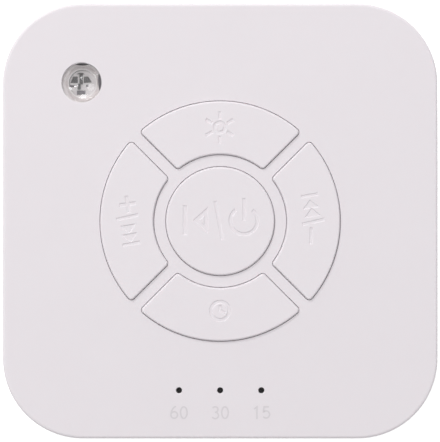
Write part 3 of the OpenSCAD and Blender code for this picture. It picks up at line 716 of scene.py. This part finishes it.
def zip_loops(bm, a, b):
    """Triangles between two anticlockwise loops of about the same shape."""
    far = a[0].co
    start = min(range(len(b)), key=lambda i: (b[i].co.xy - far.xy).length)
    b = b[start:] + b[:start]

    def fractions(loop):
        lengths = [(q.co - p.co).length for p, q in zip(loop, loop[1:] + loop[:1])]
        total, run, out = sum(lengths), 0.0, []
        for x in lengths:
            run += x
            out.append(run / total)
        return out

    fa, fb = fractions(a), fractions(b)
    i = j = 0
    while i < len(a) or j < len(b):
        p, q = a[i % len(a)], b[j % len(b)]
        if j >= len(b) or (i < len(a) and fa[i] <= fb[j]):
            bm.faces.new((p, a[(i + 1) % len(a)], q))
            i += 1
        else:
            bm.faces.new((p, b[(j + 1) % len(b)], q))
            j += 1


def inside(point, polygon):
    """Whether a point lies in a polygon, by counting the sides to its right."""
    hit = False
    for (ax, ay), (bx, by) in zip(polygon, polygon[1:] + polygon[:1]):
        if (ay > point[1]) == (by > point[1]):
            continue
        if point[0] < (bx - ax) * (point[1] - ay) / (by - ay) + ax:
            hit = not hit
    return hit


def rounded_cover():
    """The CAD cover with every hole in its face given round corners and a rolled rim."""
    bm = bmesh.new()
    bm.from_mesh(NODES["top_cover"].data)
    bmesh.ops.remove_doubles(bm, verts=bm.verts, dist=1e-6)
    bm.normal_update()

    def at_face(v):
        return abs(v.co.z / MM - FACE) < 0.002

    def bridge(a, b):
        for i in range(len(a)):
            j = (i + 1) % len(a)
            bm.faces.new((a[i], a[j], b[j], b[i]))

    gone = [f for f in bm.faces if (f.normal.z > 0.9 and all(at_face(v) for v in f.verts))
            or (abs(f.normal.z) < 0.1 and any(at_face(v) for v in f.verts))]
    bmesh.ops.delete(bm, geom=gone, context="FACES_KEEP_BOUNDARY")
    holes = []
    outer = None
    for loop in boundary_loops(bm):
        loop = anticlockwise(loop)
        if at_face(loop[0]):
            outer = loop
            continue
        x = sum(v.co.x for v in loop) / len(loop) / MM
        y = sum(v.co.y for v in loop) / len(loop) / MM
        heights = [(RIM * inset, FACE - RIM * drop) for inset, drop in rounding(3)]
        rings = []
        is_sector = 6 < math.hypot(x, y) < 30
        if is_sector:
            turn = round(math.degrees(math.atan2(y, x)) / 90) * 90
            for grow, z in heights + [(0.0, FACE - 1.0)]:
                rings.append(sector(GAP + grow, CORNER + GAP + grow, z, turn=turn))
        else:
            r = sum(math.hypot(v.co.x / MM - x, v.co.y / MM - y) for v in loop) / len(loop)
            turns = [math.atan2(v.co.y / MM - y, v.co.x / MM - x) for v in loop]
            for grow, z in heights:
                wide = r + grow
                rings.append([(x + wide * math.cos(t), y + wide * math.sin(t), z) for t in turns])
        made = [[bm.verts.new(Vector(p) * MM) for p in ring] for ring in rings]
        for a, b in zip(made, made[1:]):
            bridge(a, b)
        if is_sector:
            zip_loops(bm, made[-1], loop)
        else:
            bridge(made[-1], loop)
        holes.append(made[0])
    points, edges, owner = [], [], []
    for loop in [outer, *holes]:
        base = len(points)
        points += [v.co.xy / MM for v in loop]
        owner += loop
        edges += [(base + i, base + (i + 1) % len(loop)) for i in range(len(loop))]
    shapes = [[tuple(v.co.xy / MM) for v in loop] for loop in [outer, *holes]]
    flat, _, triangles, origin, _, _ = geometry.delaunay_2d_cdt(points, edges, [], 0, 1e-6)
    for tri in triangles:
        middle = sum((flat[i] for i in tri), Vector((0.0, 0.0))) / 3
        if inside(middle, shapes[0]) and not any(inside(middle, h) for h in shapes[1:]):
            bm.faces.new([owner[origin[i][0]] for i in tri])
    return piece("top_cover_rounded", bm, "housing", "housing", stands_for=["top_cover"])


rounded_cover()

# ---------------------------------------------------------------- digits by the timer holes

STROKE = 0.34
DIGIT_SPACING = 2.2
DIGITS_Y = -44.0
PRINT_LOW = FACE - 0.03
PRINT_TOP = FACE + 0.012
SECOND_TOP = FACE + 0.008  # a digit's second stroke, just below its first where they cross


def ribbon(bm, points, closed=False, z1=PRINT_TOP):
    """Flat closed strip along a line, with mitred joints."""
    points = [Vector(p) for p in points]
    n = len(points)
    left, right = [], []
    for i, p in enumerate(points):
        before = points[i - 1] if (i or closed) else None
        after = points[(i + 1) % n] if (i < n - 1 or closed) else None
        d1 = (p - before).normalized() if before is not None else (after - p).normalized()
        d2 = (after - p).normalized() if after is not None else d1
        out = Vector((-d1.y, d1.x)) + Vector((-d2.y, d2.x))
        out = out * (STROKE / max(out.length_squared, 1e-9))
        left.append(p + out)
        right.append(p - out)
    quads = [[(*a, PRINT_LOW), (*b, PRINT_LOW), (*b, z1), (*a, z1)] for a, b in zip(left, right)]
    loft(bm, quads, close=closed)


def digit(bm, char, x, y):
    """One plain digit, 3 mm tall, centred on (x, y)."""

    def at(pts):
        return [(x + px, y + py) for px, py in pts]

    if char == "0":
        turns = [2 * math.pi * i / 28 for i in range(28)]
        ring = [(0.75 * math.cos(t), 1.33 * math.sin(t)) for t in turns]
        ribbon(bm, at(ring), closed=True)
    elif char == "1":
        ribbon(bm, at([(-0.55, 0.85), (0.1, 1.33), (0.1, -1.5)]))
    elif char == "3":
        ribbon(bm, at(arc(-0.05, 0.70, 0.64, 150, -95, 16)))
        ribbon(bm, at(arc(-0.05, -0.66, 0.74, 92, -150, 18)), z1=SECOND_TOP)
    elif char == "5":
        flag = [(0.65, 1.33), (-0.5, 1.33), (-0.62, 0.2)]
        ribbon(bm, at(flag + arc(-0.02, -0.42, 0.82, 125, -140, 16)))
    elif char == "6":
        ring = arc(0.0, -0.55, 0.76, 0, 360 * 23 / 24, 24)
        ribbon(bm, at(ring), closed=True)
        tail = [(-0.76, -0.5), (-0.72, -0.05), (-0.58, 0.42), (-0.3, 0.92), (0.08, 1.3),
                (0.4, 1.45)]
        ribbon(bm, at(tail), z1=SECOND_TOP)


for x, number in zip(TIMER_X, ("60", "30", "15")):
    bm = bmesh.new()
    for i, char in enumerate(number):
        digit(bm, char, x + (i - 0.5) * DIGIT_SPACING, DIGITS_Y)
    piece("digits_" + number, bm, "housing", "housing", PRINT)

# ---------------------------------------------------------------- lights

# Clear dome: a flange under the cover, a cylinder in its hole and a spherical top
LENS_R = 4.5
LENS_FLANGE_R = 5.3
LENS_FLANGE_H = 0.4
DOME_R = 6.5
DOME_H = 1.86
DOME_START_R = 4.42  # the dome's rings go from here almost to its middle
bm = bmesh.new()
lens_low = low("night_light_lens")
lens_top = top("night_light_lens")
shelf = lens_low + LENS_FLANGE_H
profile = [(LENS_FLANGE_R, lens_low), (LENS_FLANGE_R, shelf), (LENS_R, shelf),
           (LENS_R, lens_top - DOME_H)]
for i in range(1, 15):
    r = DOME_START_R * (1 - i / 14.6)
    profile.append((r, lens_top - DOME_R + math.sqrt(DOME_R ** 2 - r * r)))
revolve(bm, profile, NIGHT, 96)
piece("night_light_dome", bm, "housing", "lens", stands_for=["night_light_lens"])

# Lamp: a collar, a cylinder and a round tip
LED_R = 2.5
LED_COLLAR_R = 2.9
LED_COLLAR_H = 1.0
bm = bmesh.new()
foot = low("night_light_led")
collar = foot + LED_COLLAR_H
shoulder = top("night_light_led") - LED_R
profile = [(LED_COLLAR_R, foot), (LED_COLLAR_R, collar), (LED_R, collar), (LED_R, shoulder)]
for i in range(1, 13):
    t = math.pi / 2 * i / 13
    profile.append((LED_R * math.cos(t), shoulder + LED_R * math.sin(t)))
revolve(bm, profile, NIGHT, 72)
piece("night_light_body", bm, "housing", "led", stands_for=["night_light_led"])


def plate(name, outline, z0, z1, material, rim=0.06):
    """Flat piece with a small bevel on its upper edge, given round the night light's middle."""
    bm = bmesh.new()
    grown = poly(outline)
    rings = []
    for grow, z in ((0.0, z0), (0.0, z1 - rim), (-rim, z1)):
        rings.append([(p.x + NIGHT[0], p.y + NIGHT[1], z) for p in grown(grow)])
    loft(bm, rings)
    piece(name, bm, "housing", "lead", material)


# The reflector is a shallow dish with a collar round the lamp, as (radius, depth below its top)
DISH = ((5.4, 0.0), (4.3, 0.0), (4.15, 0.25), (3.45, 2.0), (3.2, 2.2), (2.85, 2.2), (2.62, 1.4),
        (2.42, 1.4), (2.38, 1.6), (2.56, 2.7))
bowl_low, bowl_top = low("night_light_reflector"), top("night_light_reflector")
bm = bmesh.new()
profile = [(r, bowl_top - depth) for r, depth in DISH]
profile = [(DISH[0][0], bowl_low), *profile, (DISH[-1][0], bowl_low)]
loft(bm, [circle(r, z, 96, NIGHT) for r, z in profile], close=True)
piece("night_light_bowl", bm, "housing", "reflector", stands_for=["night_light_reflector"])

RIM_R = 4.2


def rim_shade_crescent(name, turn, half, reach, material):
    """Painted shade: a dark crescent sheet just under the lens's rim, seen through the lens. Its
    arc spans twice half.
    """
    edge = arc(0, 0, RIM_R, turn - half, turn + half, 13)
    for i in range(11, 0, -1):
        a = math.radians(-half + 2 * half * i / 12)
        bulge = RIM_R * math.cos(a) - reach * (1 - (a / math.radians(half)) ** 2)
        edge.append(turned(bulge, RIM_R * math.sin(a), turn))
    bm = bmesh.new()
    heights = (bowl_top - 0.1, bowl_top - 0.02)
    loft(bm, [[(x + NIGHT[0], y + NIGHT[1], z) for x, y in edge] for z in heights])
    piece(name, bm, "housing", "reflector", material)


rim_shade_crescent("lens_rim_shade_rear", 90, 20, 0.55, RIM_PAINTED_SHADE)
rim_shade_crescent("lens_rim_shade_right", 3, 28, 0.85, GREY_PAINTED_SHADE)

# Leads and cup seen inside the clear lamp, on a floor of its own: outline and height of each
LIT = bowl_top - 2.0
bm = bmesh.new()
revolve(bm, [(2.2, LIT - 0.4), (2.2, LIT - 0.05), (2.1, LIT)], NIGHT, 48)
piece("led_floor", bm, "housing", "reflector")
SHAPES = {
    "anvil": ([(-2.05, 0.15), (-0.85, 0.15), (-0.85, 1.2), (-1.6, 1.2)], 0.3),
    "post": ([(0.2, 0.15), (1.5, 0.25), (0.9, 1.2), (0.2, 1.2)], 0.3),
    "blade": ([(-0.55, -0.1), (0.0, -0.1), (0.0, 1.7), (-0.55, 1.7)], 0.4),
    "serif": ([(-1.0, 1.6), (0.3, 1.6), (0.0, 1.8), (-0.6, 1.8)], 0.25),
    "toe": ([(-0.9, -0.95), (-0.35, -0.95), (-0.35, 0.0), (-0.75, 0.0)], 0.4),
    "ledge": ([(-2.1, -0.55), (-1.45, -0.6), (-1.3, -0.3), (-2.15, -0.2)], 0.1),
    "chip": ([(0.55, -0.55), (0.9, -0.5), (0.95, -0.15), (0.55, -0.15)], 0.1),
    "cup": ([(-1.0, -1.85), (0.4, -1.85), (0.45, -1.15), (-1.0, -1.15)], 0.15),
}
for name, (outline, tall) in SHAPES.items():
    # Painted shade on the lead frame: near-black where it shows dark, grey where the ledge, chip
    # and cup show lighter.
    lighter_shade = name in ("ledge", "chip", "cup")
    plate("led_" + name, outline, LIT, LIT + tall, GREY_PAINTED_SHADE if lighter_shade else FRAME_PAINTED_SHADE)

# Smoked windows down in the timer holes, each with a small bead in its middle
WINDOW_R = 0.66
WINDOW_LOW = FACE - 2.2
WINDOW_TOP = FACE - 1.1
BEAD_R = 0.34
BEAD_H = 0.3
for name, x in zip(("left", "middle", "right"), TIMER_X):
    bm = bmesh.new()
    profile = [(WINDOW_R, WINDOW_LOW), (WINDOW_R, WINDOW_TOP), (BEAD_R, WINDOW_TOP)]
    for i in range(1, 6):
        t = math.pi / 2 * i / 6
        profile.append((BEAD_R * math.cos(t), WINDOW_TOP + BEAD_H * math.sin(t)))
    revolve(bm, profile, (x, TIMER_Y), 32)
    piece("timer_window_" + name, bm, "housing", "timer_led", SMOKED)

# Contacts on the charging socket's tongue
CONTACT_PITCH = 0.65
CONTACT_HALF = 0.14
lo, hi = (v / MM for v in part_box("usb_tongue"))
for i in range(5):
    x = (lo.x + hi.x) / 2 + (i - 2) * CONTACT_PITCH
    sides = (x - CONTACT_HALF, x + CONTACT_HALF, lo.y + 0.4, hi.y - 0.25)
    bm = bmesh.new()
    loft(bm, [box_ring(*sides, z) for z in (hi.z - 0.01, hi.z + 0.05)])
    piece(f"usb_contact_{i + 1}", bm, "housing", "socket_shell", GOLD)

# ---------------------------------------------------------------- carried-over CAD nodes

for name, obj in NODES.items():
    obj.data.materials.clear()
    obj.data.materials.append(MATERIALS[SLOT_OF[name]])

# ---------------------------------------------------------------- stage, light and camera


def seen_directly(n):
    """1 for rays that show the backdrop to the camera, straight or by a mirror or glass."""
    rays = n.new("ShaderNodeLightPath")
    total = rays.outputs["Is Camera Ray"]
    for kind in ("Is Glossy Ray", "Is Transmission Ray"):
        either = n.new("ShaderNodeMath", operation="MAXIMUM")
        n.link(total, either.inputs[0])
        n.link(rays.outputs[kind], either.inputs[1])
        total = either.outputs[0]
    return total


bm = bmesh.new()
bmesh.ops.create_grid(bm, x_segments=1, y_segments=1, size=3.0)
floor = solid_object("floor", bm)
floor.location.z = -0.00005
paper = bpy.data.materials.new("paper")
paper.use_nodes = True
n = Nodes(paper.node_tree)
bsdf = paper.node_tree.nodes["Principled BSDF"]
bsdf.inputs["Base Color"].default_value = (0.82, 0.82, 0.82, 1)
bsdf.inputs["Roughness"].default_value = 0.9
bsdf.inputs["Specular IOR Level"].default_value = 0.0
glow = n.new("ShaderNodeEmission", Strength=0.62)
both = n.new("ShaderNodeAddShader")
pick = n.new("ShaderNodeMixShader")
n.link(bsdf.outputs[0], both.inputs[0])
n.link(glow.outputs[0], both.inputs[1])
n.link(seen_directly(n), pick.inputs["Fac"])
n.link(bsdf.outputs[0], pick.inputs[1])
n.link(both.outputs[0], pick.inputs[2])
n.link(pick.outputs[0], paper.node_tree.nodes["Material Output"].inputs["Surface"])
floor.data.materials.append(paper)

world = bpy.data.worlds.new("studio")
bpy.context.scene.world = world
world.use_nodes = True
n = Nodes(world.node_tree)
fill = world.node_tree.nodes["Background"]
fill.inputs["Color"].default_value = (1, 1, 1, 1)
fill.inputs["Strength"].default_value = 0.585
white = n.new("ShaderNodeBackground", Strength=1.0)
pick = n.new("ShaderNodeMixShader")
n.link(seen_directly(n), pick.inputs["Fac"])
n.link(fill.outputs[0], pick.inputs[1])
n.link(white.outputs[0], pick.inputs[2])
n.link(pick.outputs[0], world.node_tree.nodes["World Output"].inputs["Surface"])


def lamp(name, place, aim, size, power):
    """Round area lamp that looks from a place at a point."""
    light = bpy.data.lights.new(name, "AREA")
    light.shape = "DISK"
    light.size = size
    light.energy = power
    obj = bpy.data.objects.new(name, light)
    bpy.context.scene.collection.objects.link(obj)
    obj.location = place
    obj.rotation_mode = "QUATERNION"
    obj.rotation_quaternion = (Vector(place) - Vector(aim)).to_track_quat("Z", "Y")
    return obj


# Name, place, size and power of the soft lamps that light the object
LAMPS = (("key", (-0.52, 0.95, 0.74), 0.34, 5.85), ("high", (-0.15, 0.677, 1.12), 0.32, 4.0))
# Lamps that only show as highlights on the clear parts
HIGHLIGHTS = (("glint", (-0.55, -0.203, 0.447), 0.14, 0.9),
              ("spark", (-0.38, -0.114, 0.639), 0.08, 0.6),
              ("glow", (0.38, -0.154, 0.586), 0.36, 0.9))
for name, place, size, power in LAMPS:
    lamp(name, place, (0, 0, 0.04), size, power).visible_glossy = False
for name, place, size, power in HIGHLIGHTS:
    lamp(name, place, (-0.032, 0.032, 0.05), size, power).visible_diffuse = False

camera = bpy.data.objects.new("camera", bpy.data.cameras.new("camera"))
bpy.context.scene.collection.objects.link(camera)
bpy.context.scene.camera = camera
camera.data.lens = 200
camera.data.sensor_width = 36
camera.data.clip_start = 0.05
camera.data.clip_end = 10
# Straight above the middle, at a distance from the face that gives the photograph's scale
camera.location = (-0.00004, 0.00003, 0.0494 + 0.5643)

bpy.context.scene.view_settings.view_transform = "Standard"
